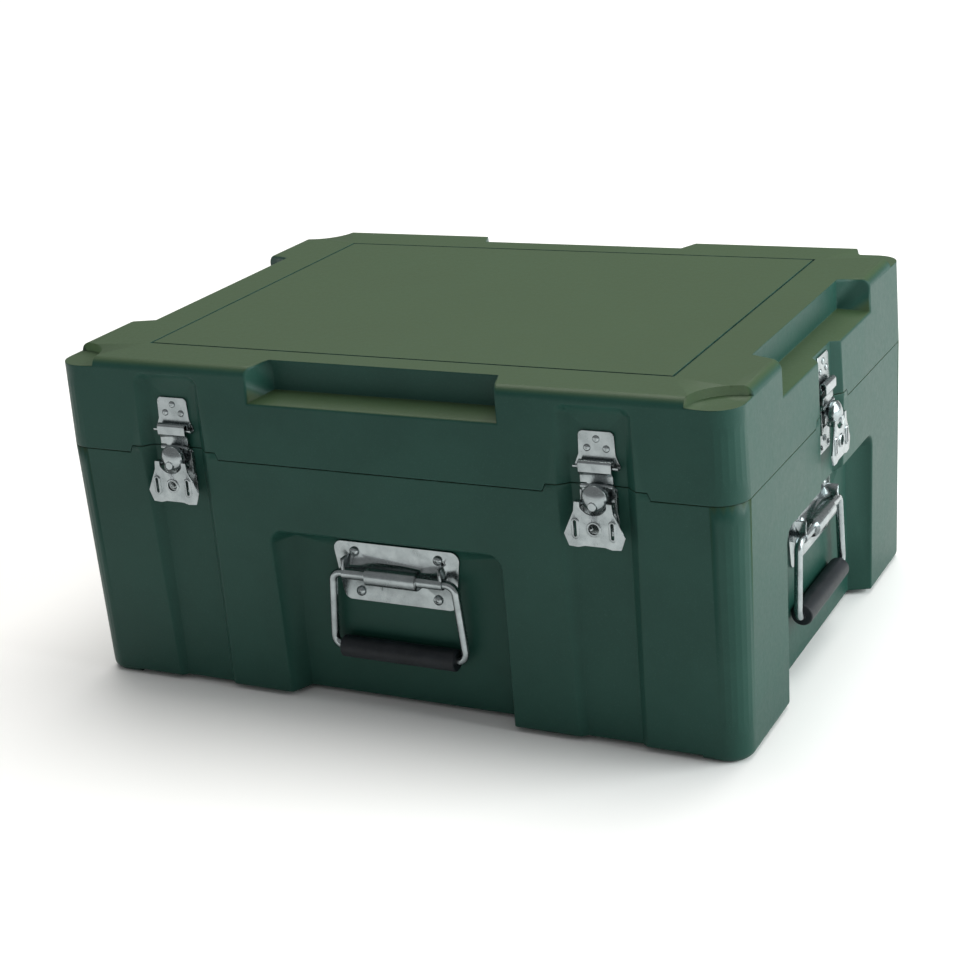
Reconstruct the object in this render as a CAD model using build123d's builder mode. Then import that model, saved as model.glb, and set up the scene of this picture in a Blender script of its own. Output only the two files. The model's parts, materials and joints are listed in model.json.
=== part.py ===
from build123d import *
import math
import os

os.makedirs("parts", exist_ok=True)

# Hard equipment case. Millimetres, +Z up, origin on the ground under its middle.
# The front face looks along -Y, and sizes of the body are taken at the parting line.

# ---- body ----
case_length = 660.0
case_depth = 490.0
base_height = 230.0
lid_height = 87.0
parting_gap = 0.8
draft_angle = 1.0
corner_radius = 26.0
bottom_rounding = 8.0
top_rounding = 9.0
mouth_rounding = 2.5
wall = 6.0

# ---- rim: a tongue on the base in a groove of the lid ----
rim_width = 27.0
rim_depth = 14.0
opening_radius = 12.0
tongue_inset = 15.5
tongue_width = 5.0
tongue_clearance = 2.2
groove_depth = 10.0
gasket_thickness = 3.2
seal_clearance = 0.3

# ---- stacking feet and the lid's corner pockets ----
foot_height = 5.0
foot_radius = 38.0
foot_setback = 5.0
stack_clearance = 2.0
stack_pocket_depth = 8.0

# ---- thin groove framing the lid's top ----
panel_inset_x = 72.0
panel_inset_y = 55.0
panel_groove_width = 2.2
panel_groove_depth = 1.6

# ---- wall pockets: latch channels, handle bays, edge recesses, hinge seats ----
proud = 3.0
open_end = 60.0
channel_offset = 207.0
rear_channel_offset = 92.0
channel_mouth = 70.0
channel_floor = 50.0
channel_depth = 9.0
channel_corner = 14.0
channel_top_gap = 9.5
bay_top = base_height - 62
bay_depth = 25.0
bay_side_slope = 12.0
bay_corner = 16.0
front_bay_half = 116.0
end_bay_half = 130.0
recess_depth = 30.0
recess_height = 32.0
recess_floor_rise = 5.0
recess_side_slope = 12.0
front_recess_half = 122.0
end_recess_half = 130.0
tab_width = 98.0
tab_height = 6.5
tab_lean = 3.0
tab_clearance = 0.3

# ---- hinges on the back ----
hinge_offset = 207.0
hinge_seat_depth = 3.0
hinge_seat_margin = 4.0
hinge_leaf_width = 76.0
hinge_leaf_height = 34.0
hinge_leaf_thickness = 2.5
hinge_barrel_radius = 5.5
hinge_pin_radius = 3.0
hinge_pin_reach = 6.0
hinge_pin_end = 1.0
hinge_barrel_gap = 0.6
hinge_leaf_corner = 4.0
hinge_knuckles = 5
hinge_knuckle_gap = 0.4
hinge_rivet_pitch = 25.0
hinge_rivet_drop = 24.0

# ---- fasteners ----
rivet_radius = 2.0
rivet_head_radius = 3.1
rivet_head_height = 1.5
rivet_tail_height = 2.5
screw_radius = 2.5
screw_head_radius = 4.6
screw_head_height = 3.0
head_rounding = 0.8
socket_radius = 1.7
socket_depth = 1.6
screw_end = 2.0
nut_across_flats = 8.0
nut_height = 4.0
washer_radius = 6.0
washer_thickness = 1.2
hole_clearance = 0.1
running_clearance = 0.05

# ---- rotary draw latch, measured from its hub: up the wall, and out from the channel's floor ----
hub_height = base_height - 0.5
latch_plate_thickness = 1.5
latch_plate_half = 16.0
latch_plate_bottom = 36.0
latch_rail_height = 4.2
latch_rail_thickness = 1.4
latch_rail_length = 20.5
latch_plate_corner = 3.0
latch_plate_top_gap = 0.5
journal_radius = 3.5
journal_level = 0.3
cam_radius = 7.0
latch_travel = 8.0
cam_level = 1.9
cam_thickness = 1.6
cam_play = 1.15
neck_radius = 5.4
dome_level = 8.5
dome_edge_level = 13.0
dome_top_level = 18.0
dome_radius = 11.5
dome_bevel = 0.6
dome_rivet_radius = 3.8
dome_rivet_drop = 5.2
dome_rivet_rounding = 0.7
dome_rivet_level = 18.7
carriage_half = 14.3
carriage_bar = 3.5
carriage_thickness = 1.3
running_gap = 0.3
link_pivot_height = 8.0
link_pivot_level = 5.0
link_pin_radius = 1.2
lug_radius = 2.1
lug_inner = 9.0
link_eye_gap = 0.9
link_side_clearance = 0.3
link_half = 14.5
link_thickness = 1.2
hook_roll_radius = 1.2
hook_roll_height = 25.0
keeper_top = 54.0
keeper_half_top = 15.5
keeper_half_waist = 16.3
keeper_half_lip = 20.0
keeper_waist_height = 34.0
keeper_shoulder_height = 25.0
keeper_corner = 4.0
keeper_lip_bottom = 22.0
keeper_trough_radius = 2.75
link_arc_rise = 2.1
link_leg_length = 6.5
link_leg_slant = 4.0
link_leg_gap = 0.5
roll_gap = 0.25
wing_pivot_drop = 5.0
wing_pivot_level = 11.2
wing_pin_radius = 1.5
wing_knuckle_radius = 2.6
wing_arm_inner = 11.8
wing_arm_outer = 16.5
wing_level = 15.2
wing_thickness = 1.5
wing_half = 27.0
wing_bottom = 42.0
wing_widest = 31.0
wing_notch_radius = 13.6
wing_waist = 10.5
wing_waist_half = 17.5
wing_tip_half = 23.0
wing_tip_rise = 0.6
wing_scallop_outer = 15.0
wing_scallop_inner = 9.0
wing_scallop_rise = 1.6
wing_lip_height = 1.0
wing_lip_width = 1.75
wing_slot_length = 14.5
wing_slot_width = 2.9
wing_slot_offset = 16.5
wing_slot_drop = 25.5
wing_hole_radius = 4.8
wing_hole_drop = 25.0

# ---- spring-loaded bail handle, measured from the bail's axle ----
handle_height = 128.0
plate_half_top = 64.0
plate_half_bottom = 56.0
plate_top = 27.0
plate_bottom = 29.0
plate_corner = 8.0
plate_thickness = 2.0
axle_level = 10.6
bail_wire_radius = 3.8
bail_half_axle = 61.0
bail_half_grip = 67.0
bail_drop = 72.0
bail_bend = 9.0
neck_half = 50.0
bridge_sheet = 1.5
housing_half = 25.0
housing_bore = 7.4
ear_height = 15.0
ear_thickness = 3.0
ear_reach = 14.0
grip_radius = 10.0
grip_half = 57.5
grip_rounding = 1.5
spring_wire_radius = 0.8
spring_clearance = 0.3
spring_half = 15.0
spring_turns = 6
spring_leg = 15.0
spring_leg_slot = 3.0
handle_screw_top = (42.0, 18.0)
handle_screw_bottom = (39.0, -20.0)

# ---- worked out from the above ----
lid_bottom = base_height + parting_gap
case_height = lid_bottom + lid_height
parting_middle = base_height + parting_gap / 2
draft_slope = math.tan(math.radians(draft_angle))
groove_inset = tongue_inset - tongue_clearance
groove_width = tongue_width + 2 * tongue_clearance
tongue_height = groove_depth - gasket_thickness + parting_gap - seal_clearance
channel_top = case_height - channel_top_gap
latch_plate_top = base_height + tab_height - hub_height - latch_plate_top_gap
keeper_trough_height = keeper_lip_bottom + latch_plate_thickness / 2 + keeper_trough_radius
spring_coil_radius = bail_wire_radius + spring_clearance + spring_wire_radius
latch_places = {
    "front_left": ("front", -channel_offset),
    "front_right": ("front", channel_offset),
    "right_end": ("right", 0.0),
    "left_end": ("left", 0.0),
}
channel_places = list(latch_places.values()) + [("back", -rear_channel_offset), ("back", rear_channel_offset)]
handle_places = {"front": "front", "right": "right", "left": "left"}
hinge_places = {"left": hinge_offset, "right": -hinge_offset}
wall_frames = {
    "front": (Vector(0, -1, 0), Vector(1, 0, 0), case_depth / 2),
    "right": (Vector(1, 0, 0), Vector(0, 1, 0), case_length / 2),
    "back": (Vector(0, 1, 0), Vector(-1, 0, 0), case_depth / 2),
    "left": (Vector(-1, 0, 0), Vector(0, -1, 0), case_length / 2),
}


# ---- places on the walls ----
def wall_plane(side, along, height, inset=0.0):
    # local x runs along the wall, y up, z outwards; inset is measured inwards from the outer size
    normal, tangent, reach = wall_frames[side]
    origin = normal * (reach - inset) + tangent * along + Vector(0, 0, height)
    return Plane(origin=origin, x_dir=tangent, z_dir=normal)


def latch_mount(place):
    side, along = latch_places[place]
    return wall_plane(side, along, hub_height, channel_depth)


def handle_mount(place):
    return wall_plane(handle_places[place], 0.0, handle_height, bay_depth)


def hinge_mount(place):
    return wall_plane("back", hinge_places[place], parting_middle, hinge_seat_depth)


def profile_plane(mount, across=0.0):
    # a section across the wall: local x runs outwards, y up
    origin = mount.from_local_coords((across, 0, 0))
    return Plane(origin=origin, x_dir=mount.z_dir, z_dir=-mount.x_dir)


def outward_axis(mount):
    return Axis(mount.origin, mount.z_dir)


# ---- body ----
def pocket(side, along, mouth, floor, low, high, depth, corner, grow=0.0):
    # a recess that narrows evenly towards its floor; every size but the floor is taken at the mouth
    slope = math.atan((mouth - floor) / 2 / depth)
    spread = grow / math.cos(slope) + proud * math.tan(slope)
    width = mouth + 2 * spread
    height = high - low + 2 * spread
    with BuildPart() as cutter:
        with BuildSketch(wall_plane(side, along, (low + high) / 2, -proud)):
            RectangleRounded(width, height, corner + grow)
        extrude(amount=-(depth + proud + grow), taper=math.degrees(slope))
    return cutter.part


def channel(side, along, top, grow=0.0):
    return pocket(
        side, along, channel_mouth, channel_floor, -open_end, top, channel_depth, channel_corner, grow
    )


def handle_bay(side, half, grow=0.0):
    floor = 2 * (half - bay_side_slope)
    return pocket(side, 0, 2 * half, floor, -open_end, bay_top, bay_depth, bay_corner, grow)


def edge_recess(side, half, grow=0.0):
    # a notch in the lid's top edge: ends that lean outwards and a floor that rises inwards
    mount = wall_plane(side, 0, 0)
    lean = recess_side_slope / recess_depth
    rise = recess_floor_rise / recess_depth
    low = case_height - recess_height - grow / math.cos(math.atan(rise))
    spread = grow / math.cos(math.atan(lean))
    inner = recess_depth + grow
    with BuildPart() as cutter:
        with BuildSketch(profile_plane(mount)):
            with BuildLine():
                Polyline(
                    (proud, low - rise * proud), (-inner, low + rise * inner),
                    (-inner, case_height + open_end), (proud, case_height + open_end), close=True,
                )
            make_face()
        extrude(amount=half + open_end, both=True)
    outer_half = half + lean * proud + spread
    inner_half = half - lean * inner + spread
    normal, tangent, reach = wall_frames[side]
    level = Plane(origin=normal * reach, x_dir=tangent, z_dir=(0, 0, 1))
    with BuildPart() as prism:
        with BuildSketch(level):
            with BuildLine():
                Polyline(
                    (-outer_half, -proud), (outer_half, -proud), (inner_half, inner), (-inner_half, inner),
                    close=True,
                )
            make_face()
        extrude(amount=case_height + open_end)
    return cutter.part & prism.part


def hinge_seat(along, grow=0.0):
    width = hinge_leaf_width + 2 * hinge_seat_margin
    reach = hinge_leaf_height + hinge_seat_margin
    return pocket(
        "back", along, width, width - 1, parting_middle - reach, parting_middle + reach,
        hinge_seat_depth, hinge_seat_margin, grow,
    )


def base_pockets(grow=0.0):
    cutters = [channel(side, along, base_height + open_end, grow) for side, along in channel_places]
    cutters.append(handle_bay("front", front_bay_half, grow))
    cutters += [handle_bay(side, end_bay_half, grow) for side in ("left", "right")]
    cutters += [hinge_seat(along, grow) for along in hinge_places.values()]
    return cutters


def lid_pockets(grow=0.0):
    cutters = [channel(side, along, channel_top, grow) for side, along in channel_places]
    cutters += [edge_recess(side, front_recess_half, grow) for side in ("front", "back")]
    cutters += [edge_recess(side, end_recess_half, grow) for side in ("left", "right")]
    cutters += [hinge_seat(along, grow) for along in hinge_places.values()]
    return cutters


def corner_places():
    reach_x = case_length / 2 - foot_setback
    reach_y = case_depth / 2 - foot_setback
    return [(x, y) for x in (-reach_x, reach_x) for y in (-reach_y, reach_y)]


def tab_block(side, along, grow, depth):
    # the step of the parting line at a latch, standing on the base's rim
    low = base_height - proud
    high = base_height + tab_height + grow
    half = tab_width / 2 + grow
    lean = tab_lean * (high - low) / tab_height
    with BuildPart() as block:
        with BuildSketch(wall_plane(side, along, low, -proud)):
            with BuildLine():
                Polyline(
                    (-half, 0), (half, 0), (half - lean, high - low), (-half + lean, high - low), close=True
                )
            make_face()
        extrude(amount=-(depth + proud))
    return block.part


def mouth_edges(edges, side, low, high):
    # edges of the pockets where they open in one drafted wall
    normal, tangent, reach = wall_frames[side]
    span = (case_length if side in ("front", "back") else case_depth) / 2 - corner_radius - foot_radius

    def in_wall(edge):
        middle = edge @ 0.5
        setback = draft_slope * abs(middle.Z - parting_middle)
        near = abs(middle.dot(normal) - reach + setback) < 0.6
        return near and low < middle.Z < high and abs(middle.dot(tangent)) < span

    return edges.filter_by(in_wall)


def build_lid_block():
    with BuildPart() as block:
        with BuildSketch(Plane.XY.offset(lid_bottom)):
            RectangleRounded(case_length, case_depth, corner_radius)
        extrude(amount=lid_height, taper=draft_angle)
    return block.part


def build_base_shell():
    rim_plane = Plane(origin=(0, 0, base_height), x_dir=(1, 0, 0), z_dir=(0, 0, -1))
    with BuildPart() as cavity:
        with BuildSketch(rim_plane.offset(rim_depth)):
            inner_length = case_length - 2 * (wall + draft_slope * rim_depth)
            inner_depth = case_depth - 2 * (wall + draft_slope * rim_depth)
            RectangleRounded(inner_length, inner_depth, corner_radius - wall)
        extrude(amount=base_height - rim_depth - foot_height - wall, taper=draft_angle)
        for cutter in base_pockets(grow=wall):
            add(cutter, mode=Mode.SUBTRACT)
        with BuildSketch(rim_plane.offset(-proud)):
            RectangleRounded(case_length - 2 * rim_width, case_depth - 2 * rim_width, opening_radius)
        extrude(amount=rim_depth + 2 * proud)

    lowered_lid = build_lid_block().moved(Location((0, 0, -parting_gap)))
    with BuildPart() as base:
        with BuildSketch(rim_plane):
            RectangleRounded(case_length, case_depth, corner_radius)
        extrude(amount=base_height, taper=draft_angle)
        fillet(base.faces().sort_by(Axis.Z)[0].edges(), bottom_rounding)
        for cutter in base_pockets():
            add(cutter, mode=Mode.SUBTRACT)
        for side in wall_frames:
            fillet(mouth_edges(base.edges(), side, bottom_rounding + 1, base_height - 1), mouth_rounding)
        # the tabs, whose outer faces follow the lid's drafted walls
        for side, along in latch_places.values():
            tab = lowered_lid & tab_block(side, along, 0.0, groove_inset - tab_clearance)
            add(tab - channel(side, along, base_height + open_end))
        # the tongue
        with BuildSketch(Plane.XY.offset(base_height)):
            outer = tongue_inset
            inner = tongue_inset + tongue_width
            RectangleRounded(case_length - 2 * outer, case_depth - 2 * outer, corner_radius - outer)
            RectangleRounded(
                case_length - 2 * inner, case_depth - 2 * inner, corner_radius - inner, mode=Mode.SUBTRACT
            )
        extrude(amount=tongue_height)
        add(cavity.part, mode=Mode.SUBTRACT)
        # everything but the four corner feet ends above the ground
        with BuildSketch(Plane.XY):
            Rectangle(case_length, case_depth)
            with Locations(*corner_places()):
                Circle(foot_radius, mode=Mode.SUBTRACT)
        extrude(amount=foot_height, mode=Mode.SUBTRACT)
        # fastener holes
        for side, along, height, radius in base_holes():
            with BuildSketch(wall_plane(side, along, height, -proud)):
                Circle(radius)
            extrude(amount=-(bay_depth + wall + 3 * proud), mode=Mode.SUBTRACT)
    return base.part


def build_lid_shell():
    with BuildPart() as cavity:
        with BuildSketch(Plane.XY.offset(lid_bottom + rim_depth)):
            inner_length = case_length - 2 * (wall + draft_slope * rim_depth)
            inner_depth = case_depth - 2 * (wall + draft_slope * rim_depth)
            RectangleRounded(inner_length, inner_depth, corner_radius - wall)
        extrude(amount=lid_height - rim_depth - wall, taper=draft_angle)
        for cutter in lid_pockets(grow=wall):
            add(cutter, mode=Mode.SUBTRACT)
        with BuildSketch(Plane.XY.offset(case_height)):
            with Locations(*corner_places()):
                Circle(foot_radius + stack_clearance + wall)
        extrude(amount=-(stack_pocket_depth + wall), mode=Mode.SUBTRACT)
        with BuildSketch(Plane.XY.offset(lid_bottom - proud)):
            RectangleRounded(case_length - 2 * rim_width, case_depth - 2 * rim_width, opening_radius)
        extrude(amount=rim_depth + 2 * proud)

    with BuildPart() as lid:
        add(build_lid_block())
        fillet(lid.faces().sort_by(Axis.Z)[-1].edges(), top_rounding)
        for cutter in lid_pockets():
            add(cutter, mode=Mode.SUBTRACT)
        mouth_top = case_height - top_rounding - 2
        for side in wall_frames:
            fillet(mouth_edges(lid.edges(), side, lid_bottom + 1, mouth_top), mouth_rounding)
        with BuildSketch(Plane.XY.offset(case_height)):
            with Locations(*corner_places()):
                Circle(foot_radius + stack_clearance)
        extrude(amount=-stack_pocket_depth, mode=Mode.SUBTRACT)
        with BuildSketch(Plane.XY.offset(case_height)):
            panel_length = case_length - 2 * panel_inset_x
            panel_depth = case_depth - 2 * panel_inset_y
            Rectangle(panel_length, panel_depth)
            Rectangle(
                panel_length - 2 * panel_groove_width,
                panel_depth - 2 * panel_groove_width,
                mode=Mode.SUBTRACT,
            )
        extrude(amount=-panel_groove_depth, mode=Mode.SUBTRACT)
        # the groove for the base's tongue, and the notches for its tabs
        with BuildSketch(Plane.XY.offset(lid_bottom)):
            outer = groove_inset
            inner = groove_inset + groove_width
            RectangleRounded(case_length - 2 * outer, case_depth - 2 * outer, corner_radius - outer)
            RectangleRounded(
                case_length - 2 * inner, case_depth - 2 * inner, corner_radius - inner, mode=Mode.SUBTRACT
            )
        extrude(amount=groove_depth, mode=Mode.SUBTRACT)
        for side, along in latch_places.values():
            add(tab_block(side, along, parting_gap, groove_inset + 1), mode=Mode.SUBTRACT)
        add(cavity.part, mode=Mode.SUBTRACT)
        for side, along, height, radius in lid_holes():
            with BuildSketch(wall_plane(side, along, height, -proud)):
                Circle(radius)
            extrude(amount=-(channel_depth + wall + 3 * proud), mode=Mode.SUBTRACT)
    return lid.part


def build_gasket():
    outer = groove_inset + seal_clearance
    inner = groove_inset + groove_width - seal_clearance
    with BuildPart() as gasket:
        with BuildSketch(Plane.XY.offset(lid_bottom + groove_depth)):
            RectangleRounded(case_length - 2 * outer, case_depth - 2 * outer, corner_radius - outer)
            RectangleRounded(
                case_length - 2 * inner, case_depth - 2 * inner, corner_radius - inner, mode=Mode.SUBTRACT
            )
        extrude(amount=-gasket_thickness)
    return gasket.part


# ---- fasteners ----
keeper_rivets = [(0.0, 47.5), (-8.5, 39.5), (8.5, 39.5)]
latch_rivets = [(0.0, -24.0), (-10.5, -31.0), (10.5, -31.0)]
hinge_rivets = [(v, hinge_rivet_drop) for v in (-hinge_rivet_pitch, 0.0, hinge_rivet_pitch)]
handle_screws = [(side * v, u) for v, u in (handle_screw_top, handle_screw_bottom) for side in (-1, 1)]


def base_holes():
    rivet_hole = rivet_radius + hole_clearance
    screw_hole = screw_radius + hole_clearance
    holes = []
    for side, along in latch_places.values():
        holes += [(side, along + v, hub_height + u, rivet_hole) for v, u in latch_rivets]
    for along in hinge_places.values():
        holes += [("back", along + v, parting_middle - u, rivet_hole) for v, u in hinge_rivets]
    for side in handle_places.values():
        holes += [(side, v, handle_height + u, screw_hole) for v, u in handle_screws]
    return holes


def lid_holes():
    rivet_hole = rivet_radius + hole_clearance
    holes = []
    for side, along in latch_places.values():
        holes += [(side, along + v, hub_height + u, rivet_hole) for v, u in keeper_rivets]
    for along in hinge_places.values():
        holes += [("back", along + v, parting_middle + u, rivet_hole) for v, u in hinge_rivets]
    return holes


def rivet(mount, across, up, seat_level):
    # a dome head outside, a plain shank through plate and wall, a flat tail inside
    head = mount.offset(seat_level)
    with BuildPart() as piece:
        with BuildSketch(head):
            with Locations((across, up)):
                Circle(rivet_head_radius)
        extrude(amount=rivet_head_height)
        fillet(piece.faces().sort_by(outward_axis(mount))[-1].edges(), head_rounding * rivet_head_height)
        with BuildSketch(head):
            with Locations((across, up)):
                Circle(rivet_radius)
        extrude(amount=-(seat_level + wall))
        with BuildSketch(mount.offset(-wall)):
            with Locations((across, up)):
                Circle(rivet_head_radius)
        extrude(amount=-rivet_tail_height)
    return piece.part


def handle_screw(mount, across, up):
    with BuildPart() as piece:
        with BuildSketch(mount.offset(plate_thickness)):
            with Locations((across, up)):
                Circle(screw_head_radius)
        extrude(amount=screw_head_height)
        fillet(piece.faces().sort_by(outward_axis(mount))[-1].edges(), head_rounding * screw_head_height)
        with BuildSketch(mount.offset(plate_thickness + screw_head_height)):
            with Locations((across, up)):
                RegularPolygon(radius=socket_radius, side_count=6)
        extrude(amount=-socket_depth, mode=Mode.SUBTRACT)
        with BuildSketch(mount.offset(plate_thickness)):
            with Locations((across, up)):
                Circle(screw_radius)
        extrude(amount=-(plate_thickness + wall + washer_thickness + nut_height + screw_end))
    return piece.part


def handle_nut(mount, across, up):
    with BuildPart() as piece:
        with BuildSketch(mount.offset(-wall)):
            with Locations((across, up)):
                Circle(washer_radius)
                Circle(screw_radius + running_clearance, mode=Mode.SUBTRACT)
        extrude(amount=-washer_thickness)
        with BuildSketch(mount.offset(-wall - washer_thickness)):
            with Locations((across, up)):
                RegularPolygon(radius=nut_across_flats / 2, side_count=6, major_radius=False)
                Circle(screw_radius + running_clearance, mode=Mode.SUBTRACT)
        extrude(amount=-nut_height)
    return piece.part


# ---- rotary draw latch ----
def build_keeper(mount):
    # a plate whose lower end curls outwards and up into a trough for the link's roll
    middle = latch_plate_thickness / 2
    trough = keeper_trough_height
    far = middle + 2 * keeper_trough_radius
    with BuildPart() as keeper:
        with BuildSketch(profile_plane(mount)):
            with BuildLine():
                Line((middle, keeper_top), (middle, trough))
                ThreePointArc(
                    (middle, trough),
                    (middle + keeper_trough_radius, trough - keeper_trough_radius),
                    (far, trough),
                )
            trace(line_width=latch_plate_thickness)
        extrude(amount=keeper_half_lip, both=True)
        with BuildSketch(mount):
            with BuildLine():
                Polyline(
                    (-keeper_half_top, keeper_top),
                    (keeper_half_top, keeper_top),
                    (keeper_half_waist, keeper_waist_height),
                    (keeper_half_lip, keeper_shoulder_height),
                    (keeper_half_lip, 0),
                    (-keeper_half_lip, 0),
                    (-keeper_half_lip, keeper_shoulder_height),
                    (-keeper_half_waist, keeper_waist_height),
                    close=True,
                )
            face = make_face()
            fillet(face.vertices().group_by(Axis.Y)[-1], keeper_corner)
        extrude(amount=far + latch_plate_thickness, mode=Mode.INTERSECT)
        for v, u in keeper_rivets:
            with BuildSketch(mount):
                with Locations((v, u)):
                    Circle(rivet_radius + hole_clearance)
            extrude(amount=latch_plate_thickness, mode=Mode.SUBTRACT)
    return keeper.part


def build_latch_plate(mount):
    middle = (latch_plate_top - latch_plate_bottom) / 2
    rail_centre = latch_plate_half - latch_rail_thickness / 2
    rail_top = latch_plate_top - latch_plate_corner
    with BuildPart() as plate:
        with BuildSketch(mount):
            with Locations((0, middle)):
                RectangleRounded(
                    2 * latch_plate_half, latch_plate_top + latch_plate_bottom, latch_plate_corner
                )
        extrude(amount=latch_plate_thickness)
        with BuildSketch(mount):
            with Locations((-rail_centre, rail_top), (rail_centre, rail_top)):
                Rectangle(latch_rail_thickness, latch_rail_length, align=(Align.CENTER, Align.MAX))
        extrude(amount=latch_rail_height)
        with BuildSketch(mount):
            Circle(journal_radius + running_clearance)
            for v, u in latch_rivets:
                with Locations((v, u)):
                    Circle(rivet_radius + hole_clearance)
        extrude(amount=latch_plate_thickness, mode=Mode.SUBTRACT)
    return plate.part


def build_carriage(mount):
    # slides up on the latch plate; its window rides round the hub's eccentric cam
    window_height = 2 * (cam_radius + cam_play)
    window_width = 2 * (cam_radius + latch_travel / 2 + running_gap)
    top = link_pivot_height + lug_radius
    bottom = -(latch_travel + window_height) / 2 - carriage_bar
    with BuildPart() as carriage:
        with BuildSketch(mount.offset(cam_level)):
            with Locations((0, (top + bottom) / 2)):
                Rectangle(2 * carriage_half, top - bottom)
            with Locations((0, -latch_travel / 2)):
                Rectangle(window_width, window_height, mode=Mode.SUBTRACT)
        extrude(amount=carriage_thickness)
        for side in (-1, 1):
            with BuildSketch(profile_plane(mount, side * lug_inner)):
                with Locations((link_pivot_level, link_pivot_height)):
                    Circle(lug_radius)
                with Locations(((cam_level + link_pivot_level) / 2, link_pivot_height)):
                    Rectangle(link_pivot_level - cam_level, 2 * lug_radius)
            extrude(amount=-side * (carriage_half - lug_inner))
        with BuildSketch(profile_plane(mount)):
            with Locations((link_pivot_level, link_pivot_height)):
                Circle(link_pin_radius + running_clearance)
        extrude(amount=carriage_half, both=True, mode=Mode.SUBTRACT)
        with BuildSketch(mount.offset(cam_level)):
            with Locations((0, link_pivot_height)):
                Rectangle(2 * lug_inner, 2 * (lug_radius + link_eye_gap / 2))
        extrude(amount=cam_thickness, mode=Mode.SUBTRACT)
    return carriage.part


def build_link(mount):
    # strap from the carriage's pin up to a hook that reaches over the keeper's lip into its trough
    roll_level = latch_plate_thickness + roll_gap + hook_roll_radius
    lip_level = latch_plate_thickness + 2 * keeper_trough_radius
    leg_level = lip_level + link_leg_gap + link_thickness / 2
    over = keeper_trough_height + link_arc_rise
    leg_bottom = over - link_leg_length
    strap_top = leg_bottom - link_leg_slant
    strap_bottom = link_pivot_height + lug_radius + link_eye_gap
    bend = (leg_level - roll_level) / 2
    with BuildPart() as link:
        with BuildSketch(profile_plane(mount)):
            with BuildLine():
                Line((roll_level, hook_roll_height), (roll_level, over))
                ThreePointArc((roll_level, over), (roll_level + bend, over + bend), (leg_level, over))
                Line((leg_level, over), (leg_level, leg_bottom))
                Line((leg_level, leg_bottom), (link_pivot_level, strap_top))
                Line((link_pivot_level, strap_top), (link_pivot_level, strap_bottom))
            trace(line_width=link_thickness)
            with Locations((roll_level, hook_roll_height)):
                Circle(hook_roll_radius)
        extrude(amount=link_half, both=True)
        with BuildSketch(profile_plane(mount)):
            with Locations((link_pivot_level, link_pivot_height)):
                Circle(lug_radius)
            with Locations((link_pivot_level, link_pivot_height + lug_radius)):
                Rectangle(link_thickness, 2 * lug_radius)
        extrude(amount=lug_inner - link_side_clearance, both=True)
        with BuildSketch(profile_plane(mount)):
            with Locations((link_pivot_level, link_pivot_height)):
                Circle(link_pin_radius + running_clearance)
        extrude(amount=link_half, both=True, mode=Mode.SUBTRACT)
    return link.part


def build_link_pin(mount):
    with BuildPart() as pin:
        with BuildSketch(profile_plane(mount)):
            with Locations((link_pivot_level, link_pivot_height)):
                Circle(link_pin_radius)
        extrude(amount=carriage_half, both=True)
    return pin.part


def build_hub(mount):
    # journal in the plate, eccentric cam in the carriage, neck, and a domed head with a rivet
    with BuildPart() as hub:
        with BuildSketch(mount.offset(journal_level)):
            Circle(journal_radius)
        extrude(amount=cam_level - journal_level)
        with BuildSketch(mount.offset(cam_level)):
            with Locations((0, -latch_travel / 2)):
                Circle(cam_radius)
        extrude(amount=cam_thickness)
        with BuildSketch(mount.offset(cam_level + cam_thickness)):
            Circle(neck_radius)
        extrude(amount=dome_level - cam_level - cam_thickness)
        with BuildSketch(profile_plane(mount)):
            rise = dome_top_level - dome_edge_level
            sphere = (dome_radius ** 2 + rise ** 2) / (2 * rise)
            halfway = dome_top_level - sphere + math.sqrt(sphere ** 2 - (dome_radius / 2) ** 2)
            with BuildLine():
                Polyline(
                    (dome_top_level, 0), (dome_level, 0), (dome_level, dome_radius - dome_bevel),
                    (dome_level + dome_bevel, dome_radius), (dome_edge_level, dome_radius),
                )
                ThreePointArc(
                    (dome_edge_level, dome_radius), (halfway, dome_radius / 2), (dome_top_level, 0)
                )
            make_face()
        revolve(axis=outward_axis(mount))
        with BuildSketch(mount.offset(dome_edge_level)):
            with Locations((0, -dome_rivet_drop)):
                Circle(dome_rivet_radius)
        extrude(amount=dome_rivet_level - dome_edge_level)
        rivet_face = hub.faces().sort_by(outward_axis(mount))[-1]
        fillet(rivet_face.edges(), dome_rivet_rounding)
        with BuildSketch(profile_plane(mount)):
            with Locations((wing_pivot_level, -wing_pivot_drop)):
                Circle(wing_pin_radius + running_clearance)
        extrude(amount=dome_radius + 1, both=True, mode=Mode.SUBTRACT)
    return hub.part


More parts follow.
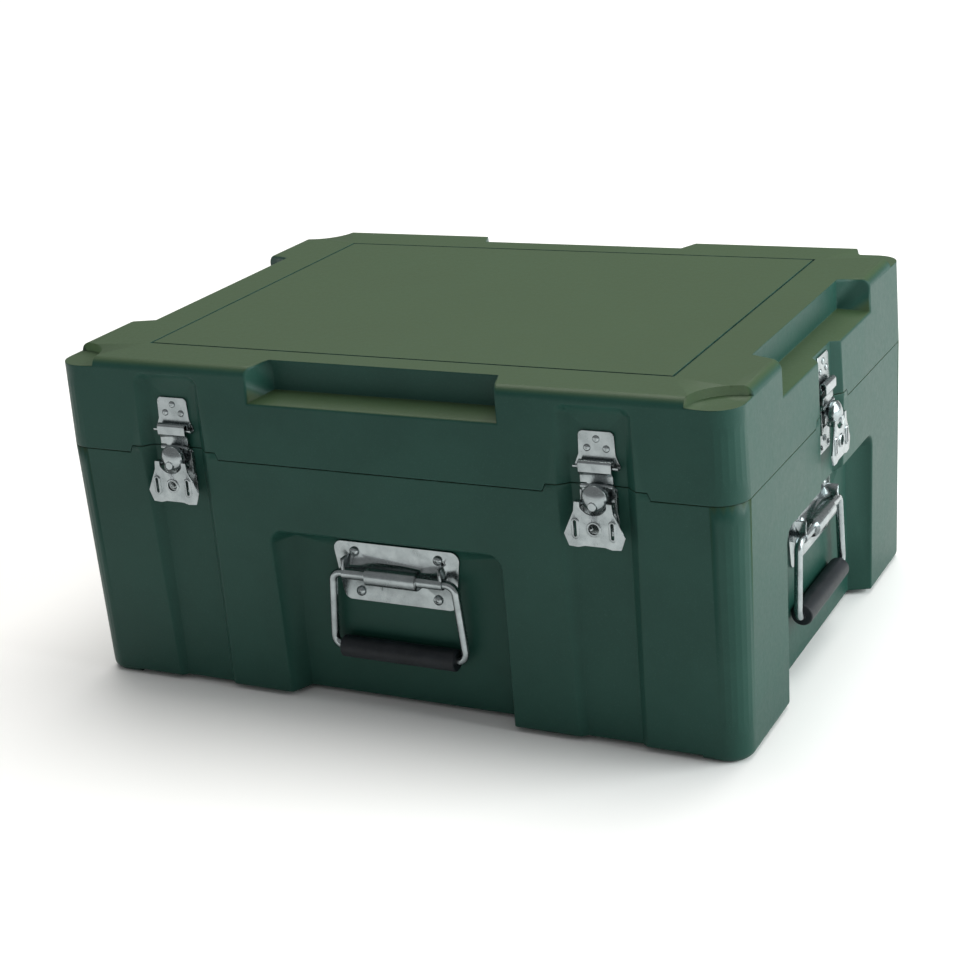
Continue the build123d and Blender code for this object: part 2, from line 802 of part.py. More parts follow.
def build_wing(mount):
    # butterfly plate with two arms that fold about the pin through the hub
    notch_foot = -math.sqrt(wing_notch_radius ** 2 - wing_arm_inner ** 2)
    arm_top = -wing_pivot_drop + wing_knuckle_radius
    right_edge = [
        (wing_arm_inner, notch_foot),
        (wing_arm_inner, arm_top),
        (wing_arm_outer, arm_top),
        (wing_waist_half, -wing_waist),
        (wing_half, -wing_widest),
        (wing_tip_half, -wing_bottom + wing_tip_rise),
        (wing_scallop_outer, -wing_bottom),
        (wing_scallop_inner, -wing_bottom + wing_scallop_rise),
        (0, -wing_bottom + wing_scallop_rise),
    ]
    left_edge = [(-v, u) for v, u in reversed(right_edge)]
    with BuildPart() as wing:
        with BuildSketch(mount.offset(wing_level)):
            with BuildLine():
                Polyline(*right_edge)
                Polyline(*left_edge)
                ThreePointArc(left_edge[-1], (0, -wing_notch_radius), right_edge[0])
            make_face()
        extrude(amount=wing_thickness)
        for side in (-1, 1):
            with BuildSketch(profile_plane(mount, side * wing_arm_inner)):
                with Locations((wing_pivot_level, -wing_pivot_drop)):
                    Circle(wing_knuckle_radius)
                with Locations(((wing_pivot_level + wing_level + wing_thickness) / 2, -wing_pivot_drop)):
                    Rectangle(wing_level + wing_thickness - wing_pivot_level, 2 * wing_knuckle_radius)
            extrude(amount=-side * (wing_arm_outer - wing_arm_inner))
        # raised lips round two slots and a hole in the middle
        slot_places = [(-wing_slot_offset, -wing_slot_drop), (wing_slot_offset, -wing_slot_drop)]
        for margin, mode in ((wing_lip_width, Mode.ADD), (0.0, Mode.SUBTRACT)):
            with BuildSketch(mount.offset(wing_level)):
                with Locations(*slot_places):
                    SlotOverall(wing_slot_length + 2 * margin, wing_slot_width + 2 * margin, rotation=90)
                with Locations((0, -wing_hole_drop)):
                    Circle(wing_hole_radius + margin)
            extrude(amount=wing_thickness + wing_lip_height, mode=mode)
        with BuildSketch(profile_plane(mount)):
            with Locations((wing_pivot_level, -wing_pivot_drop)):
                Circle(wing_pin_radius + running_clearance)
        extrude(amount=wing_half, both=True, mode=Mode.SUBTRACT)
    return wing.part


def build_wing_pin(mount):
    with BuildPart() as pin:
        with BuildSketch(profile_plane(mount)):
            with Locations((wing_pivot_level, -wing_pivot_drop)):
                Circle(wing_pin_radius)
        extrude(amount=wing_arm_outer, both=True)
    return pin.part


# ---- bail handle ----
def arch_profile(radius, start):
    # the section of a bridge pressed over the axle, from a level above the plate's back outwards
    with BuildSketch() as outline:
        with Locations((start, 0)):
            Rectangle(axle_level - start, 2 * radius, align=(Align.MIN, Align.CENTER))
        with Locations((axle_level, 0)):
            Circle(radius)
    return outline.sketch


def build_handle_plate(mount):
    section = profile_plane(mount)
    with BuildPart() as plate:
        with BuildSketch(mount):
            with BuildLine():
                Polyline(
                    (-plate_half_top, plate_top), (plate_half_top, plate_top),
                    (plate_half_bottom, -plate_bottom), (-plate_half_bottom, -plate_bottom), close=True,
                )
            face = make_face()
            fillet(face.vertices(), plate_corner)
            for v, u in handle_screws:
                with Locations((v, u)):
                    Circle(screw_radius + hole_clearance, mode=Mode.SUBTRACT)
        extrude(amount=plate_thickness)
        # a bridge pressed out of the plate: pinched necks that carry the axle, a spring housing between
        with BuildSketch(section):
            add(arch_profile(bail_wire_radius + bridge_sheet, 0))
        extrude(amount=neck_half, both=True)
        with BuildSketch(section):
            add(arch_profile(housing_bore + bridge_sheet, 0))
        extrude(amount=housing_half, both=True)
        with BuildSketch(section):
            add(arch_profile(housing_bore, plate_thickness))
        extrude(amount=housing_half - bridge_sheet, both=True, mode=Mode.SUBTRACT)
        # ears that brace the ends of the bridge
        for side in (-1, 1):
            with BuildSketch(profile_plane(mount, side * (neck_half - ear_thickness))):
                Rectangle(ear_reach, ear_height, align=(Align.MIN, Align.MIN))
            extrude(amount=-side * ear_thickness)
        with BuildSketch(section):
            with Locations((axle_level, 0)):
                Circle(bail_wire_radius + running_clearance)
        extrude(amount=neck_half + 1, both=True, mode=Mode.SUBTRACT)
        # way out for the spring's leg
        with BuildSketch(mount.offset(plate_thickness)):
            with Locations((-spring_half, 0)):
                Rectangle(spring_leg_slot, 2 * housing_bore, align=(Align.CENTER, Align.MAX))
        extrude(amount=axle_level, mode=Mode.SUBTRACT)
    return plate.part


def build_bail(mount):
    with BuildPart() as bail:
        with BuildLine(mount.offset(axle_level)):
            route = FilletPolyline(
                (-bail_half_axle, 0), (-bail_half_grip, -bail_drop), (bail_half_grip, -bail_drop),
                (bail_half_axle, 0), radius=bail_bend, close=True,
            )
        with BuildSketch(Plane(origin=route @ 0, z_dir=route % 0)):
            Circle(bail_wire_radius)
        sweep(path=route)
    return bail.part


def build_grip(mount):
    with BuildPart() as grip:
        with BuildSketch(profile_plane(mount)):
            with Locations((axle_level, -bail_drop)):
                Circle(grip_radius)
        extrude(amount=grip_half, both=True)
        fillet(grip.edges().filter_by(GeomType.CIRCLE), grip_rounding)
        with BuildSketch(profile_plane(mount)):
            with Locations((axle_level, -bail_drop)):
                Circle(bail_wire_radius + running_clearance)
        extrude(amount=grip_half + 1, both=True, mode=Mode.SUBTRACT)
    return grip.part


def build_spring(mount):
    # a coil round the axle that starts next to the plate, and a leg that leaves it downwards
    start = Plane(
        origin=mount.from_local_coords((-spring_half, 0, axle_level)), x_dir=-mount.z_dir, z_dir=mount.x_dir
    )
    coil = start * Helix(2 * spring_half / spring_turns, 2 * spring_half, spring_coil_radius)
    with BuildPart() as spring:
        with BuildSketch(Plane(origin=coil @ 0, z_dir=coil % 0)):
            Circle(spring_wire_radius)
        sweep(path=coil)
        with BuildSketch(Plane(origin=coil @ 0, z_dir=-mount.y_dir)):
            Circle(spring_wire_radius)
        extrude(amount=spring_leg)
    return spring.part


# ---- hinges ----
def knuckle_spans(first):
    pitch = hinge_leaf_width / hinge_knuckles
    spans = []
    for number in range(first, hinge_knuckles, 2):
        start = -hinge_leaf_width / 2 + number * pitch
        spans.append((start + hinge_knuckle_gap / 2, start + pitch - hinge_knuckle_gap / 2))
    return spans


def build_hinge_leaf(mount, upward, first):
    # upward is 1 for the lid's leaf and -1 for the base's
    clear = hinge_barrel_radius + hinge_barrel_gap
    outer_end = -1 if upward > 0 else 0
    with BuildPart() as leaf:
        with BuildSketch(mount):
            with Locations((0, upward * (clear + hinge_leaf_height) / 2)):
                Rectangle(hinge_leaf_width, hinge_leaf_height - clear)
            for v, u in hinge_rivets:
                with Locations((v, upward * u)):
                    Circle(rivet_radius + hole_clearance, mode=Mode.SUBTRACT)
        extrude(amount=hinge_leaf_thickness)
        fillet(leaf.edges().filter_by(outward_axis(mount)).group_by(Axis.Z)[outer_end], hinge_leaf_corner)
        for start, end in knuckle_spans(first):
            with BuildSketch(profile_plane(mount, start)):
                with Locations((hinge_pin_reach, 0)):
                    Circle(hinge_barrel_radius)
                with Locations((hinge_leaf_thickness / 2, upward * (clear + running_gap) / 2)):
                    Rectangle(hinge_leaf_thickness - 2 * running_gap, clear + running_gap)
            extrude(amount=-(end - start))
        with BuildSketch(profile_plane(mount)):
            with Locations((hinge_pin_reach, 0)):
                Circle(hinge_pin_radius + running_clearance)
        extrude(amount=hinge_leaf_width, both=True, mode=Mode.SUBTRACT)
    return leaf.part


def build_hinge_pin(mount):
    with BuildPart() as pin:
        with BuildSketch(profile_plane(mount)):
            with Locations((hinge_pin_reach, 0)):
                Circle(hinge_pin_radius)
        extrude(amount=hinge_leaf_width / 2 + hinge_pin_end, both=True)
        fillet(pin.edges().filter_by(GeomType.CIRCLE), hinge_pin_end)
    return pin.part


# ---- every piece, by its node's name ----
def export(name, part):
    part.label = name
    export_step(part, "parts/" + name + ".step")


export("base_shell", build_base_shell())
export("lid_shell", build_lid_shell())
export("lid_gasket", build_gasket())

for place in latch_places:
    mount = latch_mount(place)
    export(place + "_keeper", build_keeper(mount))
    export(place + "_latch_plate", build_latch_plate(mount))
    export(place + "_carriage", build_carriage(mount))
    export(place + "_link", build_link(mount))
    export(place + "_link_pin", build_link_pin(mount))
    export(place + "_hub", build_hub(mount))
    export(place + "_wing", build_wing(mount))
    export(place + "_wing_pin", build_wing_pin(mount))

for place in handle_places:
    mount = handle_mount(place)
    export(place + "_handle_plate", build_handle_plate(mount))
    export(place + "_bail", build_bail(mount))
    export(place + "_grip", build_grip(mount))
    export(place + "_handle_spring", build_spring(mount))

for place in hinge_places:
    mount = hinge_mount(place)
    export(place + "_hinge_base_leaf", build_hinge_leaf(mount, -1, 0))
    export(place + "_hinge_lid_leaf", build_hinge_leaf(mount, 1, 1))
    export(place + "_hinge_pin", build_hinge_pin(mount))

lid_rivets = []
base_rivets = []
for place in latch_places:
    mount = latch_mount(place)
    lid_rivets += [rivet(mount, v, u, latch_plate_thickness) for v, u in keeper_rivets]
    base_rivets += [rivet(mount, v, u, latch_plate_thickness) for v, u in latch_rivets]
for place in hinge_places:
    mount = hinge_mount(place)
    lid_rivets += [rivet(mount, v, u, hinge_leaf_thickness) for v, u in hinge_rivets]
    base_rivets += [rivet(mount, v, -u, hinge_leaf_thickness) for v, u in hinge_rivets]
screws = [handle_screw(handle_mount(place), v, u) for place in handle_places for v, u in handle_screws]
nuts = [handle_nut(handle_mount(place), v, u) for place in handle_places for v, u in handle_screws]
export("lid_rivets", Compound(children=lid_rivets))
export("base_rivets", Compound(children=base_rivets))
export("handle_screws", Compound(children=screws))
export("handle_nuts", Compound(children=nuts))
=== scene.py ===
# Hard equipment case: moulded shells, four rotary draw latches,
# three sprung bail handles and two hinges.
import json
import math

import bmesh
import bpy
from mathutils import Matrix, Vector


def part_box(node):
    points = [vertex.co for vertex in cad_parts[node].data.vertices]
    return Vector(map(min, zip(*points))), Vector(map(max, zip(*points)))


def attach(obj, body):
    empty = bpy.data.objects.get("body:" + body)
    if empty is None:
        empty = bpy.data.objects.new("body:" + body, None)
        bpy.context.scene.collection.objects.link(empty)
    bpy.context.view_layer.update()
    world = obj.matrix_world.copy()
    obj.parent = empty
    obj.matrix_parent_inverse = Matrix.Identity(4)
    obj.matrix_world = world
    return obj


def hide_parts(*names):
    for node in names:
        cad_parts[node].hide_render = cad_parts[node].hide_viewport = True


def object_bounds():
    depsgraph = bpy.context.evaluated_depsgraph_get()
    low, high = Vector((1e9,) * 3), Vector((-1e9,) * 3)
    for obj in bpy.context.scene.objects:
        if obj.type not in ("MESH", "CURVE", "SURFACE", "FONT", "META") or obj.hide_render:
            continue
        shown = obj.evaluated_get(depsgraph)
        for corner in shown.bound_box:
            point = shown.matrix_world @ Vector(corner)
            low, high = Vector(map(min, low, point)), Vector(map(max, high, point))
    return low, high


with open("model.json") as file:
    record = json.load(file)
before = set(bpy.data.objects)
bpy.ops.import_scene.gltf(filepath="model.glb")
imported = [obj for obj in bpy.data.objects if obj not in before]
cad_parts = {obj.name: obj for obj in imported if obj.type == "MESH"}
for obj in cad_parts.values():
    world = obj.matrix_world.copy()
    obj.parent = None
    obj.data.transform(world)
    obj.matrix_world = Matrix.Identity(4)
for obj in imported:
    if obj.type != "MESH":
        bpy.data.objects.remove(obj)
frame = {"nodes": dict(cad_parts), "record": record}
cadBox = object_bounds()
bodies = frame["record"]["behaviour"]["bodies"]
bodyOf = {node: body for body, nodes in bodies.items() for node in nodes}
slotOf = {part["node"]: part["material_slot"] for part in frame["record"]["subparts"]}
print("case: frame loaded,", len(bodyOf), "nodes")


class Wire:
    # a shader socket that can be used in sums
    def __init__(self, graph, socket):
        self.graph = graph
        self.socket = socket

    def math(self, operation, *others):
        node = self.graph.add("ShaderNodeMath", {"operation": operation}, {0: self})
        for place, other in enumerate(others, 1):
            self.graph.feed(node.inputs[place], other)
        return Wire(self.graph, node.outputs[0])

    def swapped(self, operation, other):
        node = self.graph.add("ShaderNodeMath", {"operation": operation}, {0: other, 1: self})
        return Wire(self.graph, node.outputs[0])

    def __add__(self, other):
        return self.math("ADD", other)

    __radd__ = __add__

    def __mul__(self, other):
        return self.math("MULTIPLY", other)

    __rmul__ = __mul__

    def __sub__(self, other):
        return self.math("SUBTRACT", other)

    def __rsub__(self, other):
        return self.swapped("SUBTRACT", other)

    def smooth(self, low, high):
        # 0 below low, 1 above high, eased between
        node = self.graph.add(
            "ShaderNodeMapRange", {"interpolation_type": "SMOOTHSTEP"}, {0: self, 1: low, 2: high}
        )
        return Wire(self.graph, node.outputs[0])


class Graph:
    # the node tree of one material
    def __init__(self, name):
        self.material = bpy.data.materials.new(name)
        self.material.use_nodes = True
        self.tree = self.material.node_tree
        self.tree.nodes.clear()

    def feed(self, socket, value):
        if isinstance(value, Wire):
            self.tree.links.new(value.socket, socket)
        else:
            socket.default_value = value

    def add(self, kind, settings=None, values=None):
        node = self.tree.nodes.new(kind)
        for key, value in (settings or {}).items():
            setattr(node, key, value)
        for key, value in (values or {}).items():
            self.feed(node.inputs[key], value)
        return node

    def wire(self, kind, settings=None, values=None, output=0):
        return Wire(self, self.add(kind, settings, values).outputs[output])

    def place(self, stretch=(1, 1, 1)):
        # a point on the piece, stretched along the case's axes
        point = self.wire("ShaderNodeTexCoord", output="Object")
        if tuple(stretch) == (1, 1, 1):
            return point
        return self.wire("ShaderNodeMapping", None, {"Vector": point, "Scale": stretch})

    def noise(self, size, detail=2.0, rough=0.5, stretch=(1, 1, 1), distortion=0.0):
        # size is the width of one blotch in metres
        return self.wire(
            "ShaderNodeTexNoise",
            None,
            {
                "Vector": self.place(stretch),
                "Scale": 1 / size,
                "Detail": detail,
                "Roughness": rough,
                "Distortion": distortion,
            },
        )

    def vector(self, operation, values, output):
        return self.wire("ShaderNodeVectorMath", {"operation": operation}, values, output)

    def mix(self, amount, low, high):
        return self.wire(
            "ShaderNodeMix", {"data_type": "RGBA"}, {0: amount, 6: low, 7: high}, output=2
        )

    def roundedNormal(self, radius):
        return self.wire("ShaderNodeBevel", {"samples": 4}, {"Radius": radius})

    def edges(self, radius, low, high):
        # how much the surface turns within a radius: 0 on flats, 1 along edges
        flat = self.wire("ShaderNodeNewGeometry", output="Normal")
        turned = self.roundedNormal(radius)
        agreement = self.vector("DOT_PRODUCT", {0: turned, 1: flat}, "Value")
        return (1 - agreement).smooth(low, high)

    def bump(self, height, strength, distance, normal=None):
        values = {"Height": height, "Strength": strength, "Distance": distance}
        if normal is not None:
            values["Normal"] = normal
        return self.wire("ShaderNodeBump", None, values)

    def finish(self, **values):
        shader = self.tree.nodes.new("ShaderNodeBsdfPrincipled")
        for key, value in values.items():
            self.feed(shader.inputs[key.replace("_", " ")], value)
        output = self.tree.nodes.new("ShaderNodeOutputMaterial")
        self.tree.links.new(shader.outputs[0], output.inputs[0])
        return self.material


plastic = {
    "green": (0.008, 0.047, 0.035, 1),
    "paleGreen": (0.014, 0.062, 0.047, 1),
    # olive tint that stands for painted warm light from above
    "topOlive": (0.036, 0.064, 0.023, 1),
    # pale teal for scuffs and flecks, and for the painted sheen along edges
    "rubbed": (0.060, 0.150, 0.130, 1),
    "cloudSize": 0.075,
    "mottleSize": 0.0042,
    "fleckSize": 0.0011,
    "scuffSize": 0.010,
    "grainSize": 0.0016,
    "waveSize": 0.012,
    "grainHeight": 0.00022,
    "wornRadius": 0.0022,
    "roundRadius": 0.0016,
    "roughness": 0.44,
    "shine": 0.2,
}


def mouldedPlastic():
    g = Graph("mouldedPlastic")
    clouds = g.noise(plastic["cloudSize"], 4, 0.55)
    mottle = g.noise(plastic["mottleSize"], 3, 0.65)
    flecks = g.noise(plastic["fleckSize"], 1, 0.5).smooth(0.60, 0.74)
    normal = g.wire("ShaderNodeTexCoord", output="Normal")
    upward = g.wire("ShaderNodeSeparateXYZ", None, {0: normal}, output=2).smooth(0.35, 0.95)
    # patchy lighter teal along edges: part rubbed wear, part painted sheen on the rounded edges
    rubbed = g.edges(plastic["wornRadius"], 0.02, 0.30) * g.noise(0.014, 3, 0.6).smooth(0.32, 0.68)
    scuffs = g.noise(plastic["scuffSize"], 6, 0.7, (1, 1, 9), 0.4).smooth(0.665, 0.74)
    scuffs = scuffs * clouds.smooth(0.45, 0.62)
    paleness = clouds.smooth(0.35, 0.68) * 0.55 + mottle * 0.35
    colour = g.mix(paleness, plastic["green"], plastic["paleGreen"])
    # painted warm top light: faces that look up are tinted olive
    colour = g.mix(upward * (0.72 + 0.22 * mottle), colour, plastic["topOlive"])
    colour = g.mix(flecks * 0.10 + scuffs * 0.22, colour, plastic["rubbed"])
    # the edge mark mixes in the pale teal: part wear, part painted sheen
    colour = g.mix(rubbed * 0.42, colour, plastic["rubbed"])
    rough = plastic["roughness"] + (mottle - 0.5) * 0.16 + (clouds - 0.5) * 0.12
    rough = rough + scuffs * 0.10 + upward * 0.05
    grain = g.noise(plastic["grainSize"], 2, 0.6) + g.noise(plastic["waveSize"], 2, 0.5) * 1.6
    rounded = g.roundedNormal(plastic["roundRadius"])
    normal = g.bump(grain, 0.35, plastic["grainHeight"], rounded)
    return g.finish(
        Base_Color=colour, Roughness=rough, Normal=normal, IOR=1.5,
        Specular_IOR_Level=plastic["shine"],
    )


steel = {
    "bright": (0.36, 0.40, 0.41, 1),
    "dull": (0.20, 0.23, 0.235, 1),
    "grime": (0.12, 0.13, 0.125, 1),
    "springBright": (0.28, 0.285, 0.28, 1),
    "roughness": 0.24,
    "springRoughness": 0.32,
    "hazeSize": 0.013,
    "spotSize": 0.0026,
    "wornRadius": 0.0008,
    "roundRadius": 0.0005,
    "drawnHeight": 0.00006,
}


def polishedSteel(name, bright, dull, roughness):
    g = Graph(name)
    haze = g.noise(steel["hazeSize"], 4, 0.6)
    drawn = g.noise(0.0011, 2, 0.6, (1, 1, 0.08))
    hairs = g.noise(0.0007, 3, 0.7, (1, 1, 14), 0.2).smooth(0.60, 0.70)
    spots = g.noise(steel["spotSize"], 3, 0.7).smooth(0.66, 0.78)
    edge = g.edges(steel["wornRadius"], 0.02, 0.35)
    colour = g.mix(haze.smooth(0.30, 0.75) * 0.6, bright, dull)
    colour = g.mix(spots * 0.16 + hairs * 0.08, colour, steel["grime"])
    # edges brightened towards the bright steel: part polished wear, part painted highlight
    colour = g.mix(edge * 0.5, colour, bright)
    rough = roughness + (haze - 0.45) * 0.16 + (drawn - 0.5) * 0.06 + hairs * 0.10 + spots * 0.12
    relief = drawn * 0.6 + hairs * 0.5 + haze * 0.4
    normal = g.bump(relief, 0.22, steel["drawnHeight"], g.roundedNormal(steel["roundRadius"]))
    return g.finish(Base_Color=colour, Roughness=rough, Normal=normal, Metallic=1.0)


rubber = {
    "black": (0.006, 0.009, 0.012, 1),
    "worn": (0.012, 0.016, 0.020, 1),
    "dust": (0.050, 0.058, 0.060, 1),
    "roughness": 0.48,
    "shine": 0.3,
    "wornRadius": 0.0012,
    "poreDepth": 0.00015,
}


def gripRubber():
    g = Graph("gripRubber")
    worn = g.noise(0.017, 4, 0.6)
    pores = g.noise(0.0009, 2, 0.6)
    dust = g.noise(0.0045, 5, 0.7).smooth(0.50, 0.72)
    edge = g.edges(rubber["wornRadius"], 0.02, 0.30)
    colour = g.mix(worn.smooth(0.35, 0.70), rubber["black"], rubber["worn"])
    # dust patches, and a lighter edge that is part wear, part painted highlight, both mix towards
    # the dust colour
    colour = g.mix(dust * 0.16 + edge * 0.35, colour, rubber["dust"])
    rough = rubber["roughness"] + (worn - 0.5) * 0.20 + dust * 0.12
    normal = g.bump(pores, 0.4, rubber["poreDepth"])
    return g.finish(
        Base_Color=colour, Roughness=rough, Normal=normal, Specular_IOR_Level=rubber["shine"]
    )


foam = {
    "dark": (0.018, 0.018, 0.019, 1),
    "pale": (0.055, 0.055, 0.056, 1),
    "cellSize": 0.0012,
    "cellDepth": 0.0004,
    "roughness": 0.78,
}


def sealFoam():
    g = Graph("sealFoam")
    cells = g.wire(
        "ShaderNodeTexVoronoi",
        None,
        {"Vector": g.place(), "Scale": 1 / foam["cellSize"], "Randomness": 1.0},
    )
    patches = g.noise(0.02, 3, 0.6)
    colour = g.mix(cells * 0.7 + patches * 0.2, foam["dark"], foam["pale"])
    rough = foam["roughness"] + patches * 0.12
    normal = g.bump(cells, 0.6, foam["cellDepth"])
    return g.finish(Base_Color=colour, Roughness=rough, Normal=normal)


finishes = {
    "moulded_plastic": mouldedPlastic(),
    "stainless_steel": polishedSteel(
        "stainlessSteel", steel["bright"], steel["dull"], steel["roughness"]
    ),
    "spring_steel": polishedSteel(
        "springSteel", steel["dull"], steel["springBright"], steel["springRoughness"]
    ),
    "handle_rubber": gripRubber(),
    "seal_rubber": sealFoam(),
}
print("case: finishes made")


dressing = {
    "weldDistance": 0.000002,
    "flatArea": 0.00008,
    "flatAgreement": 0.999998,
    "flatWeight": 100,
    "shellSmoothAngle": 38,
    "metalSmoothAngle": 32,
}


def weldedMesh(node):
    work = bmesh.new()
    work.from_mesh(frame["nodes"][node].data)
    bmesh.ops.remove_doubles(work, verts=work.verts, dist=dressing["weldDistance"])
    return work


def addPiece(name, mesh, body, slot, *nodes):
    piece = bpy.data.objects.new(name, mesh)
    bpy.context.scene.collection.objects.link(piece)
    mesh.materials.clear()
    mesh.materials.append(finishes[slot])
    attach(piece, body)
    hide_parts(*nodes)


def camelName(node):
    words = node.split("_")
    return words[0] + "".join(word.capitalize() for word in words[1:])


def creasesOf(work, flatArea):
    # the edges between two large flat faces, however slight the bend, so that each shades flat
    work.normal_update()
    region, sizes = {}, []
    for start in work.faces:
        if start in region:
            continue
        region[start] = len(sizes)
        waiting, area = [start], 0.0
        while waiting:
            face = waiting.pop()
            area += face.calc_area()
            for edge in face.edges:
                for other in edge.link_faces:
                    if other in region:
                        continue
                    if other.normal.dot(start.normal) > dressing["flatAgreement"]:
                        region[other] = len(sizes)
                        waiting.append(other)
        sizes.append(area)
    return [
        edge.index for edge in work.edges if len(edge.link_faces) == 2
        and region[edge.link_faces[0]] != region[edge.link_faces[1]]
        and min(sizes[region[face]] for face in edge.link_faces) > flatArea
    ]


def heldMesh(name, mesh):
    holder = bpy.data.objects.new(name + "Holder", mesh)
    bpy.context.scene.collection.objects.link(holder)
    return holder


def plainMesh(name, holder):
    # what the holder's modifiers make of its mesh; the modifiers and the holder go
    graph = bpy.context.evaluated_depsgraph_get()
    graph.update()
    result = bpy.data.meshes.new_from_object(holder.evaluated_get(graph), depsgraph=graph)
    holder.modifiers.clear()
    bpy.data.objects.remove(holder)
    result.name = name + "Mesh"
    return result


def flatFacesFirst(name, mesh):
    # large flat faces keep their own normals, so only the curves between them shade smoothly
    holder = heldMesh(name, mesh)
    modifier = holder.modifiers.new("flatFaces", "WEIGHTED_NORMAL")
    modifier.mode = "FACE_AREA"
    modifier.weight = dressing["flatWeight"]
    modifier.keep_sharp = True
    return plainMesh(name, holder)


def dressNode(node, smoothAngle):
    # a welded copy of a CAD node that shades smoothly round its curves and stays crisp at its edges
    name = camelName(node)
    work = weldedMesh(node)
    work.edges.index_update()
    creases = creasesOf(work, dressing["flatArea"]) if slotOf[node] == "moulded_plastic" else []
    mesh = bpy.data.meshes.new(name)
    work.to_mesh(mesh)
    work.free()
    mesh.shade_smooth()
    mesh.set_sharp_from_angle(angle=math.radians(smoothAngle))
    sharp = mesh.attributes.get("sharp_edge")
    if sharp is None:
        sharp = mesh.attributes.new("sharp_edge", "BOOLEAN", "EDGE")
    for index in creases:
        sharp.data[index].value = True
    addPiece(name, flatFacesFirst(name, mesh), bodyOf[node], slotOf[node], node)


scattered = ("lid_rivets", "base_rivets", "handle_screws", "handle_nuts")
coiled = tuple(node for node in bodyOf if node.endswith("_handle_spring"))
whole = [node for node in sorted(bodyOf) if node not in scattered and node not in coiled]
for node in whole:
    isShell = slotOf[node] == "moulded_plastic"
    dressNode(node, dressing["shellSmoothAngle" if isShell else "metalSmoothAngle"])
print("case:", len(whole), "pieces dressed")


rivetShape = {
    "head": 0.0031,
    "rise": 0.0015,
    "shank": 0.0020,
    "tail": 0.0031,
    "tailThickness": 0.0025,
    "spin": 6.28,
}
screwShape = {
    "head": 0.0046,
    "rise": 0.0030,
    "shank": 0.0025,
    "socket": 0.0017,
    "socketDepth": 0.0016,
    "spin": 1.0,
}
nutShape = {
    "acrossFlats": 0.008,
    "height": 0.004,
    "washer": 0.006,
    "washerThickness": 0.0012,
    "bore": 0.00256,
    "spin": 1.0,
}
turning = {"seed": 7, "weldDistance": 0.0000005, "smoothAngle": 40}


def turnedMesh(name, rings, sides=28):
    # rings are (radius, height, corners): a ring with corners is a polygon of that many sides
    work = bmesh.new()
    loops = []
    for radius, height, corners in rings:
        loop = []
        for number in range(sides):
            angle = 2 * math.pi * number / sides
            reach = radius
            if corners:
                sector = 2 * math.pi / corners
                reach = radius / math.cos((angle % sector) - sector / 2) * math.cos(sector / 2)
            loop.append(work.verts.new((reach * math.cos(angle), reach * math.sin(angle), height)))
        loops.append(loop)
    for low, high in zip(loops, loops[1:]):
        for number in range(sides):
            after = (number + 1) % sides
            work.faces.new((low[number], low[after], high[after], high[number]))
    if rings[0] != rings[-1]:
        work.faces.new(list(reversed(loops[0])))
        work.faces.new(loops[-1])
    bmesh.ops.remove_doubles(work, verts=work.verts, dist=turning["weldDistance"])
    bmesh.ops.recalc_face_normals(work, faces=work.faces)
    mesh = bpy.data.meshes.new(name)
    work.to_mesh(mesh)
    work.free()
    mesh.shade_smooth()
    mesh.set_sharp_from_angle(angle=math.radians(turning["smoothAngle"]))
    return mesh


def domeRings(radius, base, rise, steps=5):
    rings = []
    for step in range(steps):
        turn = math.pi / 2 * step / steps
        rings.append((radius * math.cos(turn), base + rise * math.sin(turn), 0))
    return rings


def islandPlaces(node):
    # for each fastener in a node: where its outer end is, which way it points, and how long it is
    work = weldedMesh(node)
    work.verts.ensure_lookup_table()
    seen = set()
    places = []
    for start in work.verts:
        if start.index in seen:
            continue
        stack = [start]
        seen.add(start.index)
        group = []
        while stack:
            vertex = stack.pop()
            group.append(vertex.co.copy())
            for edge in vertex.link_edges:
                other = edge.other_vert(vertex)
                if other.index not in seen:
                    seen.add(other.index)
                    stack.append(other)
        low = Vector([min(point[axis] for point in group) for axis in range(3)])
        high = Vector([max(point[axis] for point in group) for axis in range(3)])
        middle = (low + high) / 2
        wall = cadBox[1]
        along = 0 if abs(middle.x) / wall[0] > abs(middle.y) / wall[1] else 1
        outward = Vector((0, 0, 0))
        outward[along] = 1 if middle[along] > 0 else -1
        length = high[along] - low[along]
        places.append((middle + outward * length / 2, outward, length))
    work.free()
    return places


def newTree(name, inputs):
    tree = bpy.data.node_groups.new(name, "GeometryNodeTree")
    tree.interface.new_socket("Geometry", in_out="INPUT", socket_type="NodeSocketGeometry")
    for label, kind in inputs:
        tree.interface.new_socket(label, in_out="INPUT", socket_type=kind)
    tree.interface.new_socket("Geometry", in_out="OUTPUT", socket_type="NodeSocketGeometry")
    return tree


def treeNode(tree, kind, settings=None, values=None):
    node = tree.nodes.new(kind)
    for key, value in (settings or {}).items():
        setattr(node, key, value)
    for key, value in (values or {}).items():
        if isinstance(value, bpy.types.NodeSocket):
            tree.links.new(value, node.inputs[key])
        else:
            node.inputs[key].default_value = value
    return node


def closeTree(tree, last, inside, outside):
    plain = treeNode(tree, "GeometryNodeRealizeInstances", None, {0: last.outputs[0]})
    dressed = treeNode(
        tree,
        "GeometryNodeSetMaterial",
        None,
        {"Geometry": plain.outputs[0], "Material": inside.outputs["Finish"]},
    )
    tree.links.new(dressed.outputs[0], outside.inputs[0])


def runTree(name, mesh, tree, values):
    # runs a tree on a mesh and returns the plain result
    holder = heldMesh(name, mesh)
    modifier = holder.modifiers.new(name, "NODES")
    modifier.node_group = tree
    for item in tree.interface.items_tree:
        if item.in_out == "INPUT" and item.name in values:
            modifier[item.identifier] = values[item.name]
    return plainMesh(name, holder)


